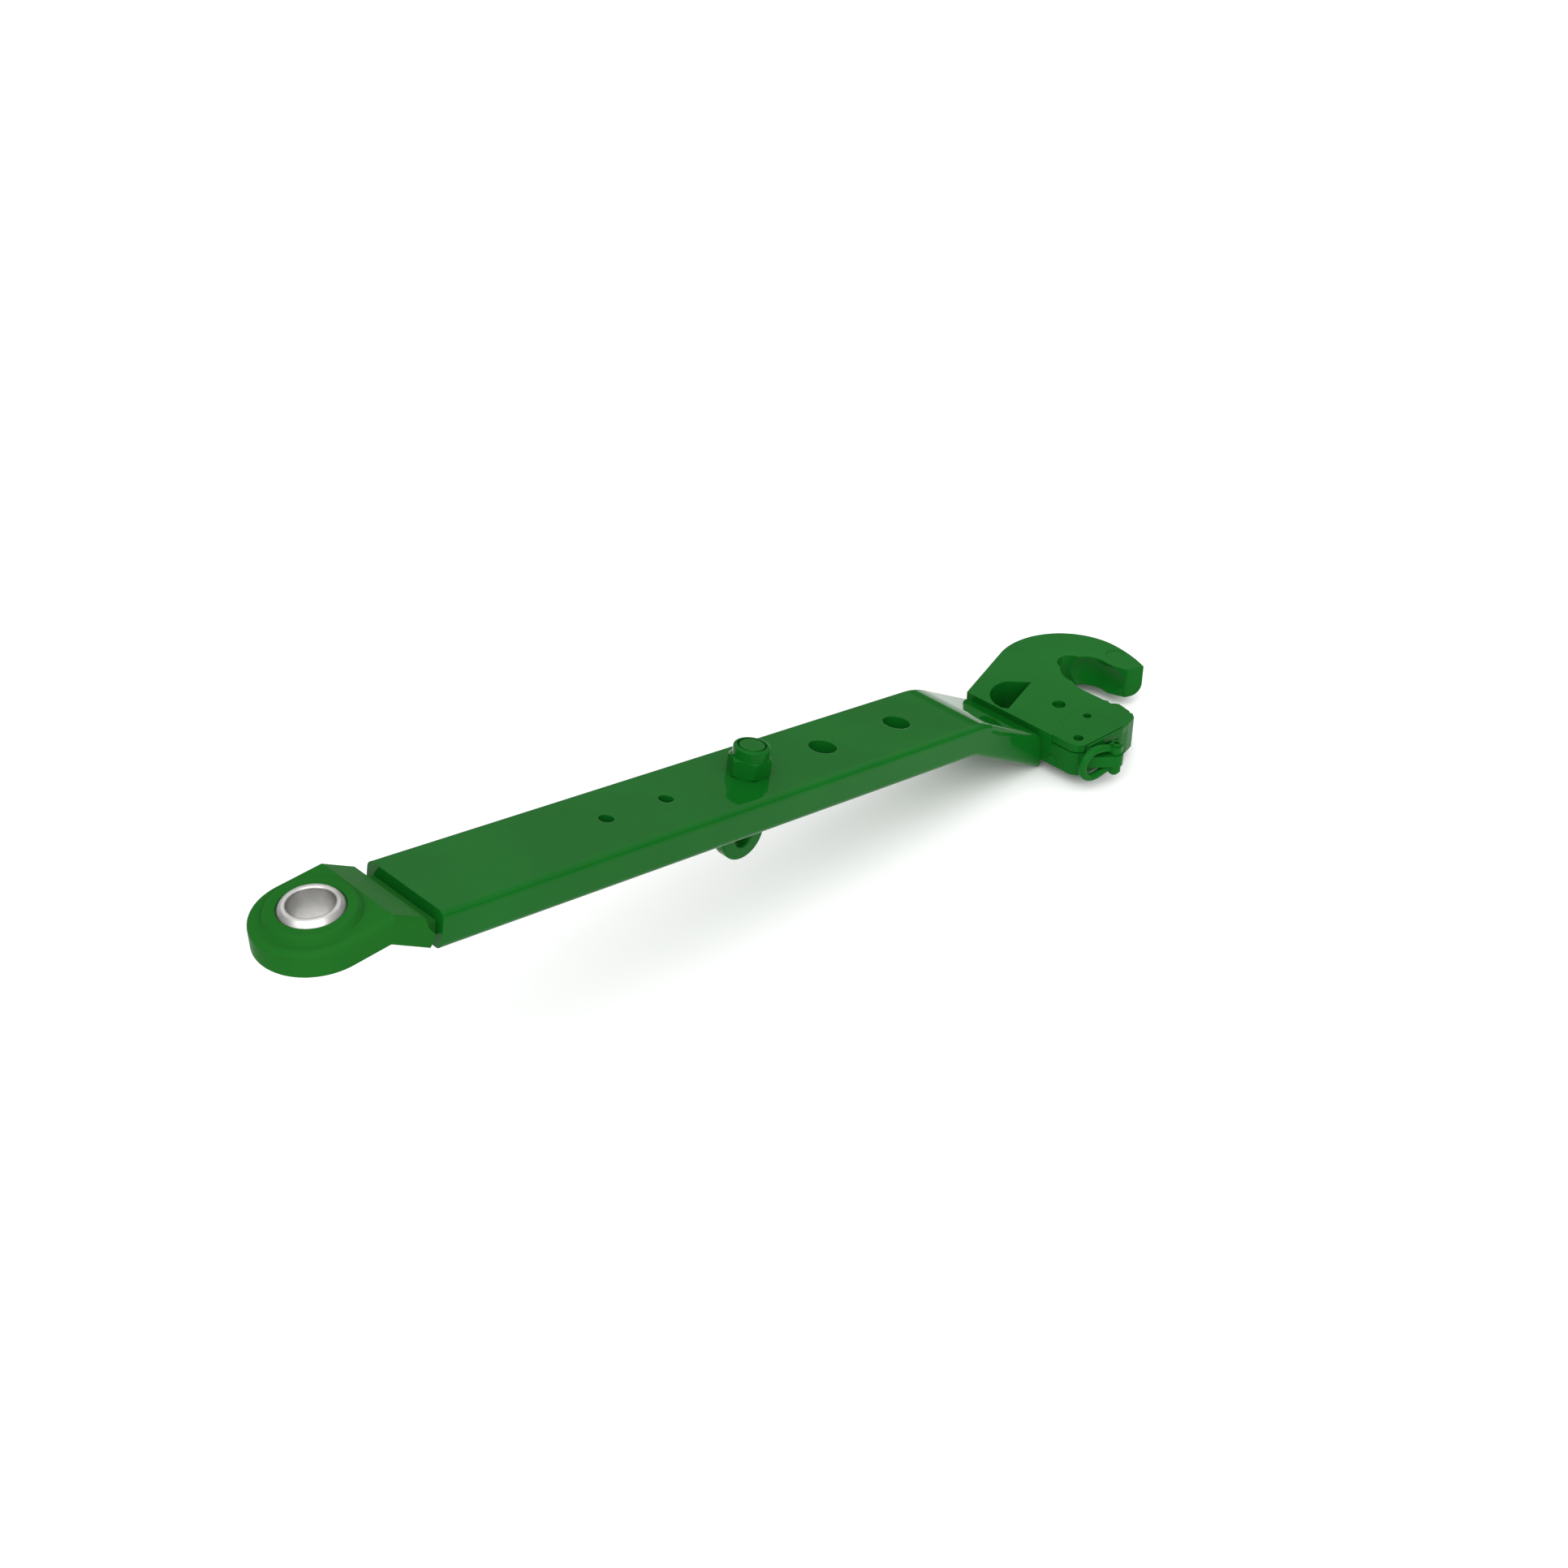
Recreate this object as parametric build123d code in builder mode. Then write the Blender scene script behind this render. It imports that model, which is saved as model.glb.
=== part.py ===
"""Lower link (draft arm) of a tractor's three-point hitch, category 3.

Frame: millimetres. The origin is the centre of the swivel ball, +Z is the axis of its bore and
+X runs along the link towards the claw hook. The bar slopes down from the eye to the hook.
"""

import os
from math import cos, pi, radians, sin, sqrt, tan

from build123d import *

# Bar: a rounded flat, bent once, that starts behind the eye
BAR_WIDTH = 100.0
BAR_THICK = 35.0
BAR_EDGE = 7.0
BAR_START_X = 85.4
BAR_START_Z = -8.75
BAR_SLOPE = 11.5
TAIL_SLOPE = 31.9
BEND_AT = 670.5
BEND_RADIUS = 67.5
TAIL_LENGTH = 140.0

# Cross holes of the bar, measured along it from the eye end
SMALL_HOLE_R = 7.0
LARGE_HOLE_R = 13.75
SMALL_HOLES_AT = (212.5, 282.5)
LARGE_HOLES_AT = (485.0, 590.5)
LUG_AT = 385.2

# Eye end
HEAD_R = 50.0
HEAD_HALF = 11.75
HEAD_FILLET = 5.5
HEAD_LOW_FILLET = 2.0
BOSS_HALF = 18.15
BOSS_TOP_R = 35.6
BOSS_FOOT_R = 39.8
BOSS_EDGE = 1.5
BOSS_BLEND = 2.0
SOCKET_EDGE = 0.6
FOLD_TOP_X = 41.9
FOLD_LOW_X = 35.0
SHANK_END_X = 69.8
SHANK_TOP_Z = -6.2
SHANK_LOW_Z = -35.4
NOSE = ((69.6, -13.0), (71.2, -17.0), (75.0, -22.8), (74.4, -26.8), (69.6, -34.0))
NECK_START = (68.0, -25.0)
NECK_HEIGHT = 13.0
NECK_WIDTH = 82.0

# Swivel ball, category 3
BALL_R = 32.0
BALL_BORE_R = 18.7
BALL_HALF = 22.5
BALL_EDGE = 3.0
BALL_LIP = 2.4
SOCKET_GAP = 0.35

# Claw hook
HOOK_X = 834.4
HOOK_TOP = -192.75
HOOK_THICK = 36.0
HOOK_LOW = HOOK_TOP - HOOK_THICK
HOOK_MID = HOOK_TOP - HOOK_THICK / 2
HOOK_BACK_Y = 52.7
BACK_ARC_CENTRE = (941.4, 4.5)
BACK_ARC_R = 77.2
BACK_SLOPE = 16.7
TIP_ARC_R = 121.0
TIP = (1007.8, -46.9)
CLAW_CORNER = (990.0, -39.4)
CLAW_ROUND = 4.5
LIP_HEADING = -21.5
JAW_X = 923.6
JAW_CORNER = ((924.4, -96.0), (919.8, -101.5), (907.0, -104.3))
FRONT_Y = -105.0
SEAT_CENTRE = (957.0, -9.5)
SEAT_R = 32.25
RELIEF_CENTRE = (957.0, 12.0)
RELIEF_R = 14.7
MOUTH_R = 28.0
RELIEF_JOIN = (14.49, 14.46)
WINDOW_CENTRE = (867.0, 10.0)
WINDOW_R = 29.7
WINDOW_TOP = (879.4, 36.9)
WINDOW_LEFT = (837.2, 7.3)
WINDOW_CORNER = (841.0, 1.5)
WINDOW_POINT = (896.7, 17.3)
CLAW_TAPER = 1.4
TAPER_FROM_Y = 5.0
SPOT_AT = (1003.0, -12.0)
SPOT_R = 10.0
SPOT_DEPTH = 0.8
TIP_ROUND = 13.0
PAD_AT = (-65.0, -222.0)
PAD_R = 6.0
PAD_HEIGHT = 1.2

# Latch pocket and cover
COVER_THICK = 8.7
COVER_GAP = 1.2
POCKET_TOP = HOOK_MID + 7.6
POCKET_LOW = HOOK_MID - 7.6
CORNER = (849.4, -84.5)
CORNER_R = 14.0
BLOCK_R = 15.0
BLOCK_BACK_R = 8.3
COVER_LEFT_Y = -61.5
COVER_BACK_Y = -52.0
COVER_STEP_X = 856.0
COVER_RIGHT_X = 897.0
STRIP_INNER_LEFT = (844.0, -99.5)
STRIP_INNER_RIGHT = (897.0, -104.3)
STRIP_THICK = 2.4
STRIP_LOW = HOOK_TOP - 6.6

# Latch, its pins and its shackle
PIVOT = (884.2, -30.7)
PIVOT_BORE_R = 6.95
PIVOT_PIN_R = 6.9
STOP = (888.1, -65.0)
STOP_R = 4.35
STOP_BORE_R = 4.4
RIVET_R = 5.2
RIVET_BORE_R = 5.25
PIN_RECESS = 5.0
RUNNING_FIT = 0.05
LATCH_THICK = 13.0
LATCH_HUB_R = 13.0
SHACKLE_AT = (869.6, -117.6)
LATCH_EYE_R = 8.5
SHACKLE_ROD_R = 4.25
SHACKLE_SPREAD = LATCH_THICK / 2 + 0.4 + SHACKLE_ROD_R
SHACKLE_BOW_R = 15.8
SHACKLE_STEM = 7.5
SHACKLE_BOW_AT = 18.0
SHACKLE_STEM_HEADING = 135.0
SHACKLE_HEADING = 170.0
SHACKLE_EYE_R = 6.8
SHACKLE_PIN_R = 4.8
SHACKLE_PIN_BORE_R = 2.85
SHACKLE_PIN_HALF = 18.5
SPRING_POCKET_R = 10.3
SPRING_POCKET_DEPTH = 6.0
SPRING_R = 8.6
SPRING_WIRE_R = 0.8
SPRING_PITCH = 1.9
SPRING_TURNS = 2.0

# Lug bolt and lock nut, M24
BOLT_R = 12.0
BOLT_HOLE_R = 12.5
LUG_DROP = 28.0
LUG_R = 26.0
LUG_HOLE_R = 10.4
LUG_HOLE_DROP = 30.2
LUG_EDGE = 2.0
LUG_THICK = 14.0
NUT_FLATS = 36.0
NUT_HEX_HEIGHT = 17.5
NUT_COLLAR_R = 17.2
NUT_HEIGHT = 27.6
NUT_TURN = 0.0
NUT_LIP_R = 14.0
BOLT_TOP = 28.0
INSERT_R = 15.0
INSERT_LOW = 19.0
INSERT_TOP = 24.8
SHOULDER_HALF = 20.0

BAR_DIR = Vector(cos(radians(BAR_SLOPE)), 0, -sin(radians(BAR_SLOPE)))
BAR_UP = Vector(sin(radians(BAR_SLOPE)), 0, cos(radians(BAR_SLOPE)))
TAIL_DIR = Vector(cos(radians(TAIL_SLOPE)), 0, -sin(radians(TAIL_SLOPE)))
BAR_START = Vector(BAR_START_X, 0, BAR_START_Z)
BAR_TOP = Plane(origin=BAR_START, x_dir=BAR_DIR, z_dir=BAR_UP)


def save(node, name):
    """Label a finished piece and write it."""
    node.part.label = name
    export_step(node.part, f"parts/{name}.step")


def on_bar(along, up=0.0):
    """Plane parallel to the bar's top face, at a place on its centre line."""
    origin = BAR_START + BAR_DIR * along + BAR_UP * up
    return Plane(origin=origin, x_dir=BAR_DIR, z_dir=BAR_UP)


def polar(centre, radius, degrees):
    """Point in plan at a radius and heading from a centre."""
    return (centre[0] + radius * cos(radians(degrees)), centre[1] + radius * sin(radians(degrees)))


def is_upper(point):
    """True above the mid-surface of the folded eye forging."""
    return point.Z > HEAD_HALF - 1 or (point.X > FOLD_TOP_X and point.Z > SHANK_TOP_Z)


def is_lower(point):
    """True on the underside of the folded eye forging."""
    on_side = point.Z < 1 - HEAD_HALF and abs(point.Y) > HEAD_R - 0.5
    return on_side or abs(point.Z + HEAD_HALF) < 0.1 and point.X < 0


os.makedirs("parts", exist_ok=True)

# ---------------------------------------------------------------- link bar
bar_axis_start = BAR_START - BAR_UP * (BAR_THICK / 2)
bend_shift = BAR_THICK / 2 * tan(radians(TAIL_SLOPE - BAR_SLOPE) / 2)
bar_axis_bend = bar_axis_start + BAR_DIR * (BEND_AT - bend_shift)
bar_axis_end = bar_axis_bend + TAIL_DIR * TAIL_LENGTH

with BuildPart() as link_bar:
    with BuildLine() as bar_axis:
        FilletPolyline(bar_axis_start, bar_axis_bend, bar_axis_end, radius=BEND_RADIUS)
    with BuildSketch(Plane(origin=bar_axis_start, x_dir=(0, 1, 0), z_dir=BAR_DIR)):
        RectangleRounded(BAR_WIDTH, BAR_THICK, BAR_EDGE)
    sweep(path=bar_axis.wire())
    split(bisect_by=Plane.YZ.offset(HOOK_X), keep=Keep.BOTTOM)
    with BuildSketch(BAR_TOP):
        with Locations(*[(x, 0) for x in SMALL_HOLES_AT]):
            Circle(SMALL_HOLE_R)
        with Locations(*[(x, 0) for x in LARGE_HOLES_AT]):
            Circle(LARGE_HOLE_R)
        with Locations((LUG_AT, 0)):
            Circle(BOLT_HOLE_R)
    extrude(amount=BAR_THICK + 1, both=True, mode=Mode.SUBTRACT)
save(link_bar, "link_bar")

# ---------------------------------------------------------------- eye end
with BuildPart() as ball_end_forging:
    with BuildSketch(Plane.XZ):
        with BuildLine():
            Polyline(
                (-HEAD_R - 1, HEAD_HALF),
                (FOLD_TOP_X, HEAD_HALF),
                (SHANK_END_X, SHANK_TOP_Z),
                *NOSE,
                (NOSE[-1][0], SHANK_LOW_Z),
                (FOLD_LOW_X, -HEAD_HALF),
                (-HEAD_R - 1, -HEAD_HALF),
                close=True,
            )
        make_face()
    extrude(amount=HEAD_R, both=True)
    with BuildSketch(Plane.XY.offset(SHANK_LOW_Z - 1)):
        Circle(HEAD_R)
        Rectangle(SHANK_END_X + 10, 2 * HEAD_R, align=(Align.MIN, Align.CENTER))
    extrude(amount=HEAD_R + HEAD_HALF, mode=Mode.INTERSECT)
    lengthwise = ball_end_forging.edges().filter_by(lambda e: abs(e.tangent_at(0.5).Z) < 0.7)
    rims = lengthwise.filter_by(lambda e: abs(e.center().Y) > 1 or e.geom_type == GeomType.CIRCLE)
    fillet(rims.filter_by(lambda e: is_upper(e.center())), HEAD_FILLET)
    lengthwise = ball_end_forging.edges().filter_by(lambda e: abs(e.tangent_at(0.5).Z) < 0.7)
    rims = lengthwise.filter_by(lambda e: abs(e.center().Y) > 1 or e.geom_type == GeomType.CIRCLE)
    fillet(rims.filter_by(lambda e: is_lower(e.center())), HEAD_LOW_FILLET)

    # neck that joins the shank to the bar, set in from all sides
    with BuildSketch(Plane(origin=(NECK_START[0], 0, NECK_START[1]), x_dir=(0, 1, 0), z_dir=(1, 0, 0))):
        Rectangle(NECK_WIDTH, NECK_HEIGHT)
    with BuildSketch(Plane(origin=bar_axis_start, x_dir=(0, 1, 0), z_dir=BAR_DIR)):
        Rectangle(NECK_WIDTH, NECK_HEIGHT)
    loft()

    # raised boss around the socket
    with BuildSketch(Plane.XZ):
        with BuildLine():
            Polyline(
                (0, BOSS_HALF),
                (BOSS_TOP_R, BOSS_HALF),
                (BOSS_FOOT_R, HEAD_HALF),
                (BOSS_FOOT_R, -HEAD_HALF),
                (BOSS_TOP_R, -BOSS_HALF),
                (0, -BOSS_HALF),
                close=True,
            )
        make_face()
    revolve(axis=Axis.Z)
    circles = ball_end_forging.edges().filter_by(GeomType.CIRCLE)
    foot = circles.filter_by(lambda e: e.is_closed and abs(e.center().Z - HEAD_HALF) < 0.1)
    fillet(foot.filter_by(lambda e: e.length < 2 * pi * (BOSS_FOOT_R + 1)), BOSS_BLEND)
    circles = ball_end_forging.edges().filter_by(GeomType.CIRCLE)
    fillet(circles.filter_by(lambda e: e.is_closed and abs(e.center().Z) > BOSS_HALF - 0.1), BOSS_EDGE)
    Sphere(BALL_R + SOCKET_GAP, mode=Mode.SUBTRACT)
    circles = ball_end_forging.edges().filter_by(GeomType.CIRCLE)
    rim_length = 2 * pi * (BOSS_TOP_R - 5)
    rims = circles.filter_by(lambda e: abs(e.center().Z) > BOSS_HALF - 0.1)
    fillet(rims.filter_by(lambda e: e.length < rim_length), SOCKET_EDGE)
save(ball_end_forging, "ball_end_forging")

with BuildPart() as swivel_ball:
    Sphere(BALL_R)
    with Locations((0, 0, BALL_HALF + BALL_R / 2), (0, 0, -BALL_HALF - BALL_R / 2)):
        Box(2 * BALL_R, 2 * BALL_R, BALL_R, mode=Mode.SUBTRACT)
    Cylinder(BALL_BORE_R, 3 * BALL_R, mode=Mode.SUBTRACT)
    fillet(swivel_ball.edges().filter_by(lambda e: e.length > 2 * pi * (BALL_BORE_R + 1)), BALL_EDGE)
    fillet(swivel_ball.edges().filter_by(lambda e: e.length < 2 * pi * (BALL_BORE_R + 1)), BALL_LIP)
save(swivel_ball, "swivel_ball")

# ---------------------------------------------------------------- claw hook
back_touch = polar(BACK_ARC_CENTRE, BACK_ARC_R, 90 + BACK_SLOPE)
crown = (BACK_ARC_CENTRE[0] + BACK_ARC_R, BACK_ARC_CENTRE[1])
tip_arc_centre = (crown[0] - TIP_ARC_R, crown[1])
relief_right = (RELIEF_CENTRE[0] + RELIEF_JOIN[0], RELIEF_JOIN[1])
relief_left = (RELIEF_CENTRE[0] - RELIEF_JOIN[0], RELIEF_JOIN[1])
lip = polar(SEAT_CENTRE, MOUTH_R, LIP_HEADING)
jaw_shoulder = polar(SEAT_CENTRE, MOUTH_R, 186)
corner_low = (CORNER[0], CORNER[1] - BLOCK_R)

with BuildPart() as hook_forging:
    with BuildSketch(Plane.XY.offset(HOOK_LOW)):
        with BuildLine():
            Line((HOOK_X, CORNER[1]), (HOOK_X, HOOK_BACK_Y))
            Line((HOOK_X, HOOK_BACK_Y), back_touch)
            ThreePointArc(back_touch, polar(BACK_ARC_CENTRE, BACK_ARC_R, 50), crown)
            ThreePointArc(crown, polar(tip_arc_centre, TIP_ARC_R, -12), TIP)
            Polyline(TIP, CLAW_CORNER, lip)
            ThreePointArc(lip, polar(SEAT_CENTRE, MOUTH_R, 20), relief_right)
            ThreePointArc(relief_right, (RELIEF_CENTRE[0], RELIEF_CENTRE[1] + RELIEF_R), relief_left)
            ThreePointArc(relief_left, polar(SEAT_CENTRE, MOUTH_R, 160), jaw_shoulder)
            Polyline(
                jaw_shoulder,
                (926.3, -18.0),
                (JAW_X, -24.5),
                *JAW_CORNER,
                (895.0, FRONT_Y),
                corner_low,
            )
            RadiusArc(corner_low, (HOOK_X, CORNER[1]), BLOCK_R)
        make_face()
    extrude(amount=HOOK_THICK)
    claw_corner_edge = hook_forging.edges().filter_by(Axis.Z).sort_by_distance((*CLAW_CORNER, HOOK_MID))[0]
    fillet(claw_corner_edge, CLAW_ROUND)

    # spherical seat, with a groove so that the ball can pass the lip
    with Locations((*SEAT_CENTRE, HOOK_MID)):
        Sphere(SEAT_R, mode=Mode.SUBTRACT)
    with BuildSketch(Plane(origin=(SEAT_CENTRE[0], SEAT_CENTRE[1], HOOK_MID), z_dir=(0, -1, 0))):
        Circle(SEAT_R)
    extrude(amount=60, mode=Mode.SUBTRACT)

    # D-shaped window behind the jaw
    with BuildSketch(Plane.XY.offset(HOOK_LOW)):
        with BuildLine():
            ThreePointArc(WINDOW_TOP, polar(WINDOW_CENTRE, WINDOW_R, 120), WINDOW_LEFT)
            Polyline(WINDOW_LEFT, WINDOW_CORNER, WINDOW_POINT, WINDOW_TOP)
        make_face()
    extrude(amount=HOOK_THICK, mode=Mode.SUBTRACT)

    # recess for the cover plate
    with BuildSketch(Plane.XY.offset(HOOK_TOP)):
        with BuildLine():
            Polyline(
                (HOOK_X - 5, COVER_LEFT_Y),
                (COVER_STEP_X, COVER_LEFT_Y),
                (COVER_STEP_X, COVER_BACK_Y),
                (COVER_RIGHT_X, COVER_BACK_Y),
                STRIP_INNER_RIGHT,
                STRIP_INNER_LEFT,
                (STRIP_INNER_LEFT[0], STRIP_INNER_LEFT[1] - 30),
                (HOOK_X - 5, STRIP_INNER_LEFT[1] - 30),
                close=True,
            )
        make_face()
    extrude(amount=-(COVER_THICK + COVER_GAP), mode=Mode.SUBTRACT)

    # guard strip in front of the cover
    with BuildSketch(Plane.XY.offset(STRIP_LOW)):
        with BuildLine():
            Polyline(
                STRIP_INNER_LEFT,
                STRIP_INNER_RIGHT,
                (904.0, -102.6),
                (904.0, -105.0),
                (895.0, -106.5),
                (STRIP_INNER_LEFT[0] + 4.2, STRIP_INNER_LEFT[1] - STRIP_THICK - 0.2),
                (STRIP_INNER_LEFT[0], STRIP_INNER_LEFT[1] - 0.5),
                close=True,
            )
        make_face()
    extrude(amount=HOOK_TOP - STRIP_LOW)

    # pocket the latch swings in, open to the jaw and to the front
    with BuildSketch(Plane.XY.offset(POCKET_LOW)):
        with BuildLine():
            Polyline(
                (884.2, -16.2),
                (900.0, -18.0),
                (JAW_X, -32.0),
                (JAW_X + 8, -32.0),
                (JAW_X + 8, -98.5),
                (890.5, -98.5),
                (890.5, -112.0),
                (852.0, -112.0),
                (850.5, -98.6),
                polar(CORNER, BLOCK_BACK_R, -60),
            )
            RadiusArc(polar(CORNER, BLOCK_BACK_R, -60), (CORNER[0] + BLOCK_BACK_R, CORNER[1]), -BLOCK_BACK_R)
            Polyline((CORNER[0] + BLOCK_BACK_R, CORNER[1]), (857.7, -50.0), (869.7, -30.7))
            ThreePointArc((869.7, -30.7), polar(PIVOT, 14.5, 135), (884.2, -16.2))
        make_face()
    extrude(amount=POCKET_TOP - POCKET_LOW, mode=Mode.SUBTRACT)

    # claw thins a little towards its point
    with BuildSketch(Plane(origin=(SEAT_CENTRE[0], 0, 0), x_dir=(0, 1, 0), z_dir=(1, 0, 0))):
        with BuildLine():
            Polyline(
                (TAPER_FROM_Y, HOOK_TOP),
                (TIP[1] - 8, HOOK_TOP - CLAW_TAPER),
                (TIP[1] - 8, HOOK_TOP + 3),
                (TAPER_FROM_Y, HOOK_TOP + 3),
                close=True,
            )
        make_face()
    extrude(amount=80, mode=Mode.SUBTRACT)
    with BuildSketch(Plane.XY.offset(HOOK_TOP - SPOT_DEPTH)):
        with Locations(SPOT_AT):
            Circle(SPOT_R)
    extrude(amount=10, mode=Mode.SUBTRACT)

    # lower outer edge rounded at the point
    tip_dir = Vector(TIP[1] - tip_arc_centre[1], tip_arc_centre[0] - TIP[0], 0).normalized() * -1
    tip_out = Vector(TIP[0] - tip_arc_centre[0], TIP[1] - tip_arc_centre[1], 0).normalized()
    with BuildSketch(Plane(origin=(*TIP, HOOK_LOW), x_dir=tip_out, z_dir=tip_dir)):
        Rectangle(2 * TIP_ROUND, 2 * TIP_ROUND)
        with Locations((-TIP_ROUND, -TIP_ROUND)):
            Circle(TIP_ROUND, mode=Mode.SUBTRACT)
        with Locations((-TIP_ROUND, 0)):
            Rectangle(2 * TIP_ROUND, 2 * TIP_ROUND, mode=Mode.SUBTRACT, align=(Align.MAX, Align.CENTER))
    extrude(amount=60, both=True, mode=Mode.SUBTRACT)

    # pin holes and the small pad on the end face
    for centre, radius in ((PIVOT, PIVOT_BORE_R), (STOP, STOP_BORE_R), (CORNER, RIVET_BORE_R)):
        with BuildSketch(Plane.XY.offset(HOOK_LOW)):
            with Locations(centre):
                Circle(radius)
        extrude(amount=HOOK_THICK, mode=Mode.SUBTRACT)
    with BuildSketch(Plane(origin=(HOOK_X, PAD_AT[0], PAD_AT[1]), z_dir=(-1, 0, 0))):
        Circle(PAD_R)
    extrude(amount=PAD_HEIGHT)
save(hook_forging, "hook_forging")

with BuildPart() as latch_cover_plate:
    with BuildSketch(Plane.XY.offset(HOOK_TOP - COVER_THICK)):
        with BuildLine():
            Polyline(
                (CORNER[0] - CORNER_R, CORNER[1]),
                (CORNER[0] - CORNER_R, COVER_LEFT_Y),
                (COVER_STEP_X, COVER_LEFT_Y),
                (COVER_STEP_X, COVER_BACK_Y),
                (COVER_RIGHT_X, COVER_BACK_Y),
                (COVER_RIGHT_X, -103.2),
                polar(CORNER, CORNER_R, -94.9),
            )
            RadiusArc(polar(CORNER, CORNER_R, -94.9), (CORNER[0] - CORNER_R, CORNER[1]), CORNER_R)
        make_face()
        with Locations(STOP):
            Circle(STOP_BORE_R, mode=Mode.SUBTRACT)
        with Locations(CORNER):
            Circle(RIVET_BORE_R, mode=Mode.SUBTRACT)
    extrude(amount=COVER_THICK)
save(latch_cover_plate, "latch_cover_plate")

for pin_name, centre, radius in (
    ("latch_pivot_pin", PIVOT, PIVOT_PIN_R),
    ("latch_stop_pin", STOP, STOP_R),
    ("cover_rivet", CORNER, RIVET_R),
):
    with BuildPart() as pin:
        with BuildSketch(Plane.XY.offset(HOOK_LOW + PIN_RECESS)):
            with Locations(centre):
                Circle(radius)
        extrude(amount=HOOK_THICK - 2 * PIN_RECESS)
        chamfer(pin.edges().filter_by(GeomType.CIRCLE), 0.6)
    save(pin, pin_name)

# ---------------------------------------------------------------- latch
nose_start = polar(PIVOT, LATCH_HUB_R, 59.5)
gap_nose = polar(PIVOT, 28.5, -54)
gap_tail = polar(PIVOT, 28.5, -91.7)
tail_low_right = (887.5, -95.0)
tail_low_left = (878.5, -95.0)

with BuildPart() as locking_latch:
    with BuildSketch(Plane.XY.offset(HOOK_MID - LATCH_THICK / 2)):
        with BuildLine():
            Polyline(
                nose_start,
                (938.3, -47.4),
                (940.4, -53.1),
                (937.5, -56.7),
                (941.2, -60.4),
                (943.8, -64.8),
                (940.5, -81.0),
                (926.0, -87.0),
                gap_nose,
            )
            ThreePointArc(gap_nose, polar(PIVOT, 28.5, -73), gap_tail)
            Polyline(gap_tail, (883.2, -65.0), (883.5, -72.0), tail_low_right, (886.0, -103.0), SHACKLE_AT)
            Polyline(
                SHACKLE_AT,
                polar(SHACKLE_AT, LATCH_EYE_R - 0.3, 225),
                (841.5, -102.8),
                (842.1, -101.9),
                (868.0, -108.8),
                (874.4, -107.2),
                (876.5, -101.5),
                tail_low_left,
                (872.0, -65.0),
                (871.4, -32.0),
            )
            ThreePointArc((871.4, -32.0), polar(PIVOT, 12.87, 120), nose_start)
        make_face()
        with Locations(SHACKLE_AT):
            Circle(LATCH_EYE_R)
        with Locations(SHACKLE_AT):
            Circle(SHACKLE_PIN_R + RUNNING_FIT, mode=Mode.SUBTRACT)
        with Locations(PIVOT):
            Circle(PIVOT_BORE_R, mode=Mode.SUBTRACT)
    extrude(amount=LATCH_THICK)
    with BuildSketch(Plane.XY.offset(HOOK_MID + LATCH_THICK / 2)):
        with Locations(PIVOT):
            Circle(SPRING_POCKET_R)
    extrude(amount=-SPRING_POCKET_DEPTH, mode=Mode.SUBTRACT)
save(locking_latch, "locking_latch")

with BuildPart() as latch_spring:
    spring_base = HOOK_MID + LATCH_THICK / 2 - SPRING_POCKET_DEPTH + SPRING_WIRE_R + 0.3
    with BuildLine():
        Helix(SPRING_PITCH, SPRING_PITCH * SPRING_TURNS, SPRING_R, center=(*PIVOT, spring_base))
    with BuildSketch(Plane(origin=(PIVOT[0] + SPRING_R, PIVOT[1], spring_base), z_dir=(0, 1, 0))):
        Circle(SPRING_WIRE_R)
    sweep(is_frenet=True)
save(latch_spring, "latch_spring")

# ---------------------------------------------------------------- shackle
stem_dir = Vector(cos(radians(SHACKLE_STEM_HEADING)), sin(radians(SHACKLE_STEM_HEADING)), 0)
shackle_dir = Vector(cos(radians(SHACKLE_HEADING)), sin(radians(SHACKLE_HEADING)), 0)
shackle_eye = Vector(*SHACKLE_AT, HOOK_MID)
bow_centre = shackle_eye + stem_dir * SHACKLE_STEM + shackle_dir * SHACKLE_BOW_AT

with BuildPart() as release_shackle:
    # each leg leaves its eye along the stem and bends into the plane of the bow
    with BuildLine() as bow:
        bow_ends = []
        for side in (1, -1):
            leg_start = shackle_eye + Vector(0, 0, side * SHACKLE_SPREAD)
            bend_start = leg_start + stem_dir * SHACKLE_STEM / 2
            bow_end = bow_centre + Vector(0, 0, side * SHACKLE_BOW_R)
            Line(leg_start, bend_start)
            Bezier(
                bend_start,
                leg_start + stem_dir * (SHACKLE_STEM + 1),
                bow_end - shackle_dir * SHACKLE_BOW_AT / 2,
                bow_end,
            )
            bow_ends.append(bow_end)
        ThreePointArc(bow_ends[0], bow_centre + shackle_dir * SHACKLE_BOW_R, bow_ends[1])
    with BuildSketch(Plane(origin=(*SHACKLE_AT, HOOK_MID + SHACKLE_SPREAD), z_dir=stem_dir)):
        Circle(SHACKLE_ROD_R)
    sweep(path=bow.wire())
    for side in (1, -1):
        with BuildSketch(Plane.XY.offset(HOOK_MID + side * SHACKLE_SPREAD)):
            with Locations(SHACKLE_AT):
                Circle(SHACKLE_EYE_R)
        extrude(amount=SHACKLE_ROD_R, both=True)
    with BuildSketch(Plane.XY.offset(HOOK_MID)):
        with Locations(SHACKLE_AT):
            Circle(SHACKLE_PIN_R + RUNNING_FIT)
    extrude(amount=HOOK_THICK, both=True, mode=Mode.SUBTRACT)
save(release_shackle, "release_shackle")

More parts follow.
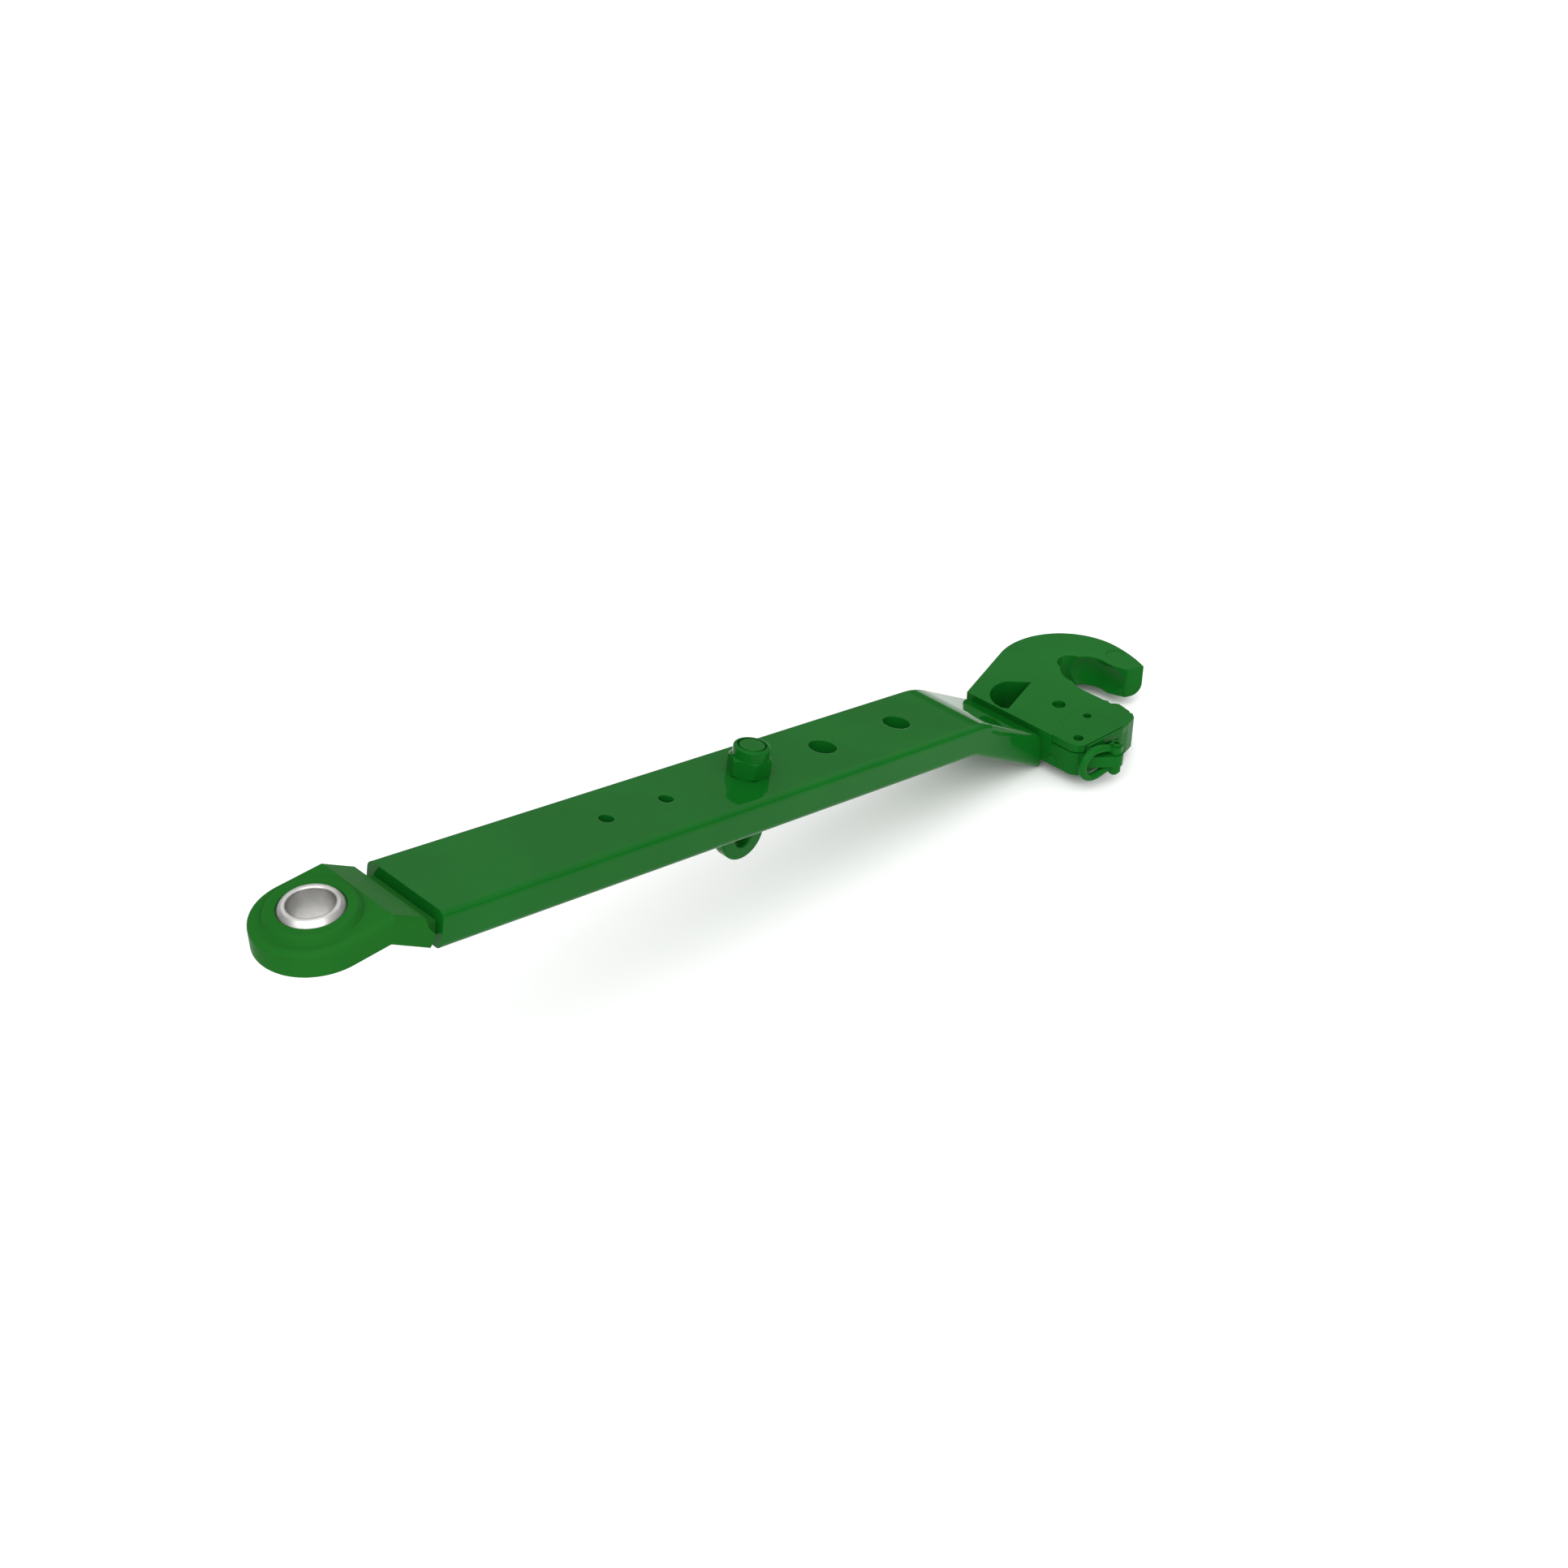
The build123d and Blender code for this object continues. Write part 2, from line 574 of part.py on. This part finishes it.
with BuildPart() as shackle_pin:
    with BuildSketch(Plane.XY.offset(HOOK_MID)):
        with Locations(SHACKLE_AT):
            Circle(SHACKLE_PIN_R)
            Circle(SHACKLE_PIN_BORE_R, mode=Mode.SUBTRACT)
    extrude(amount=SHACKLE_PIN_HALF, both=True)
    chamfer(shackle_pin.edges().filter_by(GeomType.CIRCLE), 0.4)
save(shackle_pin, "shackle_pin")

# ---------------------------------------------------------------- lug bolt and lock nut
lug_centre = BAR_START + BAR_DIR * LUG_AT - BAR_UP * (BAR_THICK + LUG_DROP)
bolt_axis = Axis(lug_centre, BAR_UP)

with BuildPart() as lug_bolt:
    with BuildSketch(Plane(origin=lug_centre, x_dir=BAR_DIR, z_dir=(0, -1, 0))):
        Circle(LUG_R)
        with Locations((0, LUG_DROP)):
            Rectangle(2 * SHOULDER_HALF, 16, align=(Align.CENTER, Align.MAX))
        with Locations((0, LUG_DROP - LUG_HOLE_DROP)):
            Circle(LUG_HOLE_R, mode=Mode.SUBTRACT)
    extrude(amount=LUG_THICK / 2, both=True)
    rings = lug_bolt.edges().filter_by(GeomType.CIRCLE)
    fillet(rings.filter_by(lambda e: abs(abs(e.center().Y) - LUG_THICK / 2) < 0.01), LUG_EDGE)
    with BuildSketch(on_bar(LUG_AT, -BAR_THICK - 5)):
        Circle(BOLT_R)
    extrude(amount=BAR_THICK + 5 + BOLT_TOP)
    fillet(lug_bolt.edges().filter_by(GeomType.CIRCLE).sort_by(bolt_axis)[-1], 1.6)
save(lug_bolt, "lug_bolt")

with BuildPart() as lock_nut:
    with BuildSketch(on_bar(LUG_AT)):
        RegularPolygon(NUT_FLATS / 2, 6, major_radius=False, rotation=NUT_TURN)
    extrude(amount=NUT_HEX_HEIGHT)
    with BuildSketch(Plane(origin=BAR_START + BAR_DIR * LUG_AT, x_dir=BAR_DIR, z_dir=(0, -1, 0))):
        with BuildLine():
            Polyline(
                (0, 0),
                (NUT_FLATS / 2 + 0.3, 0),
                (NUT_FLATS / sqrt(3) + 0.2, 1.6),
                (NUT_FLATS / sqrt(3) + 0.2, NUT_HEX_HEIGHT - 2.6),
                (NUT_COLLAR_R, NUT_HEX_HEIGHT + 0.6),
                (NUT_COLLAR_R, NUT_HEIGHT),
                (0, NUT_HEIGHT),
                close=True,
            )
        make_face()
    revolve(axis=bolt_axis, mode=Mode.INTERSECT)
    with BuildSketch(on_bar(LUG_AT, NUT_HEX_HEIGHT - 1)):
        Circle(NUT_COLLAR_R)
    extrude(amount=NUT_HEIGHT - NUT_HEX_HEIGHT + 1)
    fillet(lock_nut.edges().filter_by(GeomType.CIRCLE).sort_by(bolt_axis)[-1], 2.2)
    with BuildSketch(on_bar(LUG_AT)):
        Circle(BOLT_R + RUNNING_FIT)
    extrude(amount=NUT_HEIGHT, mode=Mode.SUBTRACT)
    with BuildSketch(on_bar(LUG_AT, INSERT_LOW)):
        Circle(INSERT_R)
    extrude(amount=INSERT_TOP - INSERT_LOW, mode=Mode.SUBTRACT)
    with BuildSketch(on_bar(LUG_AT, INSERT_TOP)):
        Circle(NUT_LIP_R)
    extrude(amount=NUT_HEIGHT - INSERT_TOP, mode=Mode.SUBTRACT)
save(lock_nut, "lock_nut")

with BuildPart() as lock_nut_insert:
    with BuildSketch(on_bar(LUG_AT, INSERT_LOW)):
        Circle(INSERT_R)
        Circle(BOLT_R + RUNNING_FIT, mode=Mode.SUBTRACT)
    extrude(amount=INSERT_TOP - INSERT_LOW)
save(lock_nut_insert, "lock_nut_insert")
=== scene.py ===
"""Looks for the hitch lower link: green enamel over forged steel, a bare turned ball in the eye."""

import math

import bpy
from mathutils import Matrix, Vector


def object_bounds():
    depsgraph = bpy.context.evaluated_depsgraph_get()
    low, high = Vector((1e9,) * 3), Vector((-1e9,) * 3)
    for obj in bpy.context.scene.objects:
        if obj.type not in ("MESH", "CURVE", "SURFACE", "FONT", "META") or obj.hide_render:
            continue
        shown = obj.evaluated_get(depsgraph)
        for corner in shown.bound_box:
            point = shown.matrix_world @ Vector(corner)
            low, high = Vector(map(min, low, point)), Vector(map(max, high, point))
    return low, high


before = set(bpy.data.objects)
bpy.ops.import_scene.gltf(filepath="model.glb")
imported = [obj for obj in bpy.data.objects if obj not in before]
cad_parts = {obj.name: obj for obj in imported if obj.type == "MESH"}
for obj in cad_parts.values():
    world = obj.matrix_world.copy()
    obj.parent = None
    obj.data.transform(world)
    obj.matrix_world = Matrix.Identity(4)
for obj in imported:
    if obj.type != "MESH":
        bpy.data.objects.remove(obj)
cad_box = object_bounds()
scene = bpy.context.scene

# Colours, linear
GREEN = (0.0036, 0.103, 0.0092)
GREEN_DEEP = (0.0028, 0.090, 0.0075)
FORGING = (0.0115, 0.108, 0.0135)
FORGING_DEEP = (0.0098, 0.097, 0.0115)
STEEL = (0.56, 0.555, 0.54)

# Brightness of the sky near the horizon and overhead, and the heights between which it rises
SKY_LOW = 0.12
SKY_HIGH = 1.25
SKY_RISE_FROM = 0.15
SKY_RISE_TO = 0.6

# Softened edges of castings and of small parts, in metres
EDGE = 0.0010
SMALL_EDGE = 0.0005
RECESS_EDGE = 0.0003

# Stage and camera, in metres
FLOOR_SIZE = 60.0
FLOOR_GAP = 0.0005
CAMERA_AT = (-0.6648, -1.1740, 1.0515)
LENS_MM = 50.0
SENSOR_MM = 36.0


def new_material(name):
    """A new node material, with its tree, its shader and its object coordinates."""
    material = bpy.data.materials.new(name)
    material.use_nodes = True
    tree = material.node_tree
    shader = tree.nodes["Principled BSDF"]
    coords = tree.nodes.new("ShaderNodeTexCoord")
    return material, tree, shader, coords.outputs["Object"]


def noise(tree, vector, scale, detail=2.0):
    node = tree.nodes.new("ShaderNodeTexNoise")
    node.inputs["Scale"].default_value = scale
    node.inputs["Detail"].default_value = detail
    tree.links.new(vector, node.inputs["Vector"])
    return node.outputs["Fac"]


def ramp(tree, value, low, high, out_low, out_high):
    node = tree.nodes.new("ShaderNodeMapRange")
    limits = {"From Min": low, "From Max": high, "To Min": out_low, "To Max": out_high}
    for name, number in limits.items():
        node.inputs[name].default_value = number
    tree.links.new(value, node.inputs["Value"])
    return node.outputs["Result"]


def mix(tree, factor, first, second):
    node = tree.nodes.new("ShaderNodeMix")
    node.data_type = "RGBA"
    for socket, value in ((node.inputs[6], first), (node.inputs[7], second)):
        if isinstance(value, tuple):
            socket.default_value = (*value, 1.0)
        else:
            tree.links.new(value, socket)
    tree.links.new(factor, node.inputs[0])
    return node.outputs[2]


def bump(tree, height, distance, normal=None):
    node = tree.nodes.new("ShaderNodeBump")
    node.inputs["Distance"].default_value = distance
    node.inputs["Strength"].default_value = 1.0
    tree.links.new(height, node.inputs["Height"])
    if normal is not None:
        tree.links.new(normal, node.inputs["Normal"])
    return node.outputs["Normal"]


def enamel(name, light, deep, edge=EDGE, gloss=0.09, rough_low=0.05):
    """Sprayed enamel: slow drift of colour, orange peel, softened edges."""
    material, tree, shader, coords = new_material(name)
    drift = ramp(tree, noise(tree, coords, 9.0, 3.0), 0.35, 0.65, 0.0, 1.0)
    tree.links.new(mix(tree, drift, deep, light), shader.inputs["Base Color"])
    rough = ramp(tree, noise(tree, coords, 35.0, 4.0), 0.3, 0.7, rough_low, rough_low + 0.04)
    tree.links.new(rough, shader.inputs["Roughness"])
    shader.inputs["Specular IOR Level"].default_value = gloss
    bevel = tree.nodes.new("ShaderNodeBevel")
    bevel.samples = 4
    bevel.inputs["Radius"].default_value = edge
    peel = bump(tree, noise(tree, coords, 420.0, 1.0), 0.000006, bevel.outputs["Normal"])
    tree.links.new(peel, shader.inputs["Normal"])
    return material


def turned_steel(name):
    """Bare turned steel: fine rings about the bore, a little tarnish."""
    material, tree, shader, coords = new_material(name)
    tarnish = ramp(tree, noise(tree, coords, 40.0, 4.0), 0.35, 0.7, 0.0, 1.0)
    dark = tuple(0.7 * c for c in STEEL)
    tree.links.new(mix(tree, tarnish, STEEL, dark), shader.inputs["Base Color"])
    shader.inputs["Metallic"].default_value = 1.0
    stretch = tree.nodes.new("ShaderNodeMapping")
    stretch.inputs["Scale"].default_value = (4.0, 4.0, 900.0)
    tree.links.new(coords, stretch.inputs["Vector"])
    lines = noise(tree, stretch.outputs["Vector"], 1.0, 2.0)
    tree.links.new(ramp(tree, lines, 0.3, 0.7, 0.3, 0.42), shader.inputs["Roughness"])
    tree.links.new(bump(tree, lines, 0.00002), shader.inputs["Normal"])
    return material


GREEN_PAINT = enamel("green_enamel", GREEN, GREEN_DEEP)
HOOK_PAINT = enamel("green_enamel_on_hook", GREEN, GREEN_DEEP, EDGE, 0.05)
SMALL_PAINT = enamel("green_enamel_small_parts", GREEN, GREEN_DEEP, SMALL_EDGE, 0.05)
# Pins and rivet get a darker green: painted shade for the recesses they sit in, not a colour of
# their own
PAINTED_SHADE_GREEN = tuple(0.6 * c for c in GREEN_DEEP)
PIN_PAINT_WITH_PAINTED_SHADE = enamel("green_enamel_pins_painted_shade", GREEN_DEEP, PAINTED_SHADE_GREEN, RECESS_EDGE)
FORGED_PAINT = enamel("green_enamel_on_forging", FORGING, FORGING_DEEP, EDGE, 0.006, 0.25)
BARE_STEEL = turned_steel("turned_steel")
LOOKS = {
    "swivel_ball": BARE_STEEL,
    "latch_spring": BARE_STEEL,
    "ball_end_forging": FORGED_PAINT,
    "hook_forging": HOOK_PAINT,
    "locking_latch": SMALL_PAINT,
    "latch_pivot_pin": PIN_PAINT_WITH_PAINTED_SHADE,
    "latch_stop_pin": PIN_PAINT_WITH_PAINTED_SHADE,
    "cover_rivet": PIN_PAINT_WITH_PAINTED_SHADE,
    "release_shackle": SMALL_PAINT,
    "shackle_pin": SMALL_PAINT,
    "lock_nut": SMALL_PAINT,
    "lock_nut_insert": SMALL_PAINT,
    "latch_cover_plate": SMALL_PAINT,
}
for node_name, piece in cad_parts.items():
    for slot in piece.material_slots:
        slot.material = LOOKS.get(node_name, GREEN_PAINT)

# ---------------------------------------------------------------- stage
floor_z = cad_box[0][2] - FLOOR_GAP
middle = Vector([(low + high) / 2 for low, high in zip(cad_box[0], cad_box[1])])
bpy.ops.mesh.primitive_plane_add(size=FLOOR_SIZE, location=(middle.x, middle.y, floor_z))
floor = bpy.context.object
floor.name = "studio_floor"
floor_material, floor_tree, floor_shader, _ = new_material("pale_floor")
floor_shader.inputs["Base Color"].default_value = (0.9, 0.9, 0.9, 1.0)
floor_shader.inputs["Roughness"].default_value = 0.9
floor_shader.inputs["Specular IOR Level"].default_value = 0.0
floor.data.materials.append(floor_material)

# Sky: dim at the horizon, brighter overhead
world = bpy.data.worlds.new("studio")
scene.world = world
world.use_nodes = True
sky_tree = world.node_tree
sky_coords = sky_tree.nodes.new("ShaderNodeTexCoord")
sky_split = sky_tree.nodes.new("ShaderNodeSeparateXYZ")
sky_tree.links.new(sky_coords.outputs["Generated"], sky_split.inputs["Vector"])
sky_level = ramp(sky_tree, sky_split.outputs["Z"], SKY_RISE_FROM, SKY_RISE_TO, SKY_LOW, SKY_HIGH)
sky_tree.links.new(sky_level, sky_tree.nodes["Background"].inputs["Strength"])
sky_tree.nodes["Background"].inputs["Color"].default_value = (1.0, 1.0, 1.0, 1.0)


def dome_light(name, towards, spread, strength):
    """A wide soft light that reaches the whole floor evenly."""
    data = bpy.data.lights.new(name, "SUN")
    data.angle = math.radians(spread)
    data.energy = strength
    lamp = bpy.data.objects.new(name, data)
    bpy.context.collection.objects.link(lamp)
    lamp.matrix_world = Vector(towards).to_track_quat("-Z", "Y").to_matrix().to_4x4()


dome_light("front", (0.58, 0.58, -0.58), 90.0, 2.4)

# ---------------------------------------------------------------- camera
camera_data = bpy.data.cameras.new("camera")
camera_data.lens = LENS_MM
camera_data.sensor_width = SENSOR_MM
camera = bpy.data.objects.new("camera", camera_data)
bpy.context.collection.objects.link(camera)
look = Vector((1.0, 1.0, -1.0)).normalized()
camera_turn = look.to_track_quat("-Z", "Y").to_matrix().to_4x4()
camera.matrix_world = Matrix.Translation(CAMERA_AT) @ camera_turn
scene.camera = camera
scene.view_settings.view_transform = "Standard"
